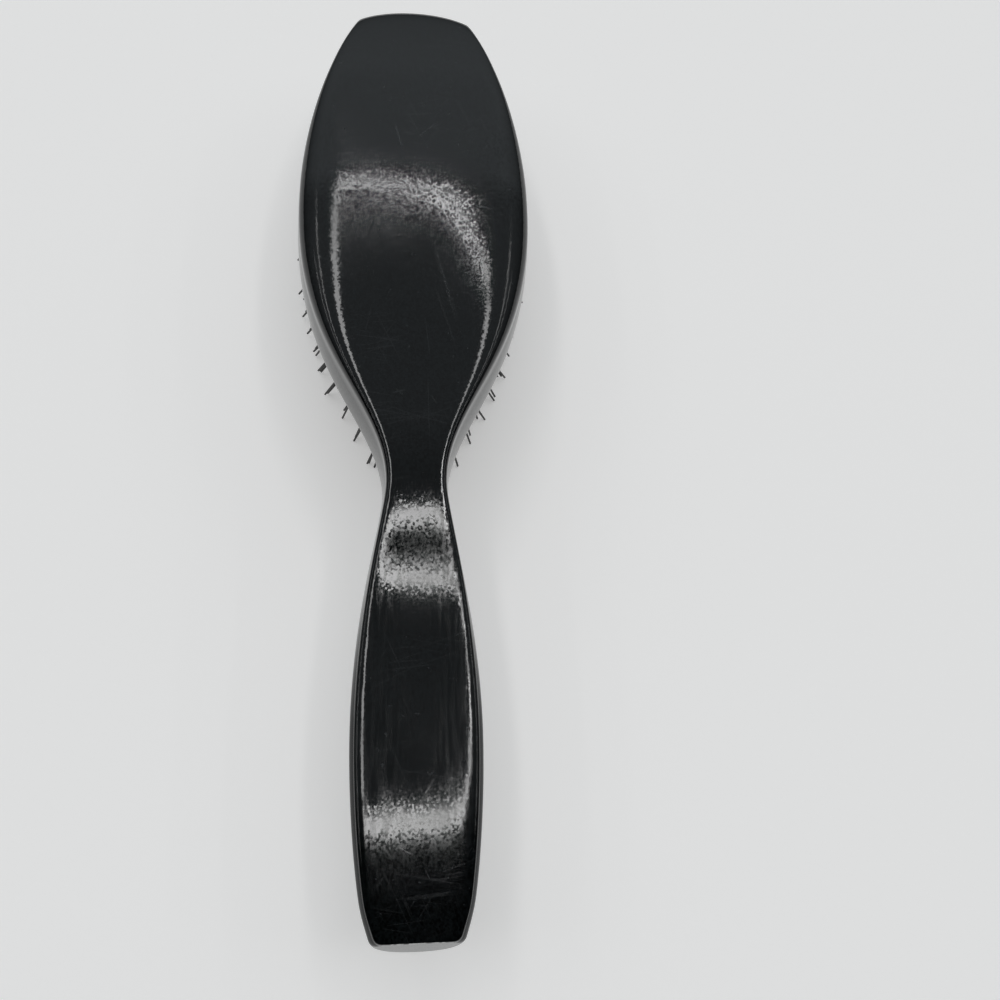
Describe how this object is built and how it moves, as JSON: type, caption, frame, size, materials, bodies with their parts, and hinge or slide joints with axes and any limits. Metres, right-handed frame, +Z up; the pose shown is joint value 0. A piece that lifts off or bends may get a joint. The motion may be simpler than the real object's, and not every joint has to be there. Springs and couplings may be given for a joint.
{
  "type": "cushion styling brush",
  "caption": "Hand-held hair brush: one-piece gloss handle and tapered oval head, with a sprung rubber cushion that carries fanned rows of nylon tufts.",
  "frame": {"origin": "on the surface that the brush lies on, under the middle of its length and width, with its back up", "axes": "+Z up, out of the back; +Y along the brush towards the head's tip; +X to the right as seen from behind the handle"},
  "size_m": [0.0602, 0.2276, 0.037],
  "materials": {
    "gloss_body": "moulded gloss black, finely scratched",
    "rubber_pad": "matt black rubber",
    "nylon_tufts": "satin black nylon, cut blunt"
  },
  "bodies": {
    "brush_body": {"body": "gloss_body", "cushion_pad": "rubber_pad"},
    "tuft_bed": {"tuft_row_01": "nylon_tufts", "tuft_row_02": "nylon_tufts", "tuft_row_03": "nylon_tufts", "tuft_row_04": "nylon_tufts", "tuft_row_05": "nylon_tufts", "tuft_row_06": "nylon_tufts", "tuft_row_07": "nylon_tufts", "tuft_row_08": "nylon_tufts", "tuft_row_09": "nylon_tufts", "tuft_row_10": "nylon_tufts", "tuft_row_11": "nylon_tufts", "tuft_row_12": "nylon_tufts", "tuft_row_13": "nylon_tufts", "tuft_row_14": "nylon_tufts", "tuft_row_15": "nylon_tufts", "tuft_row_16": "nylon_tufts", "tuft_row_17": "nylon_tufts", "tuft_row_18": "nylon_tufts", "tuft_row_19": "nylon_tufts"}
  },
  "joints": [
    {"name": "cushion_press", "type": "slide", "parent": "brush_body", "child": "tuft_bed", "axis": [0, 0, 1], "range_m": [0, 0.003], "stiffness_N_per_m": 2500, "springref_m": -0.0004, "deforming": ["cushion_pad"]}
  ]
}
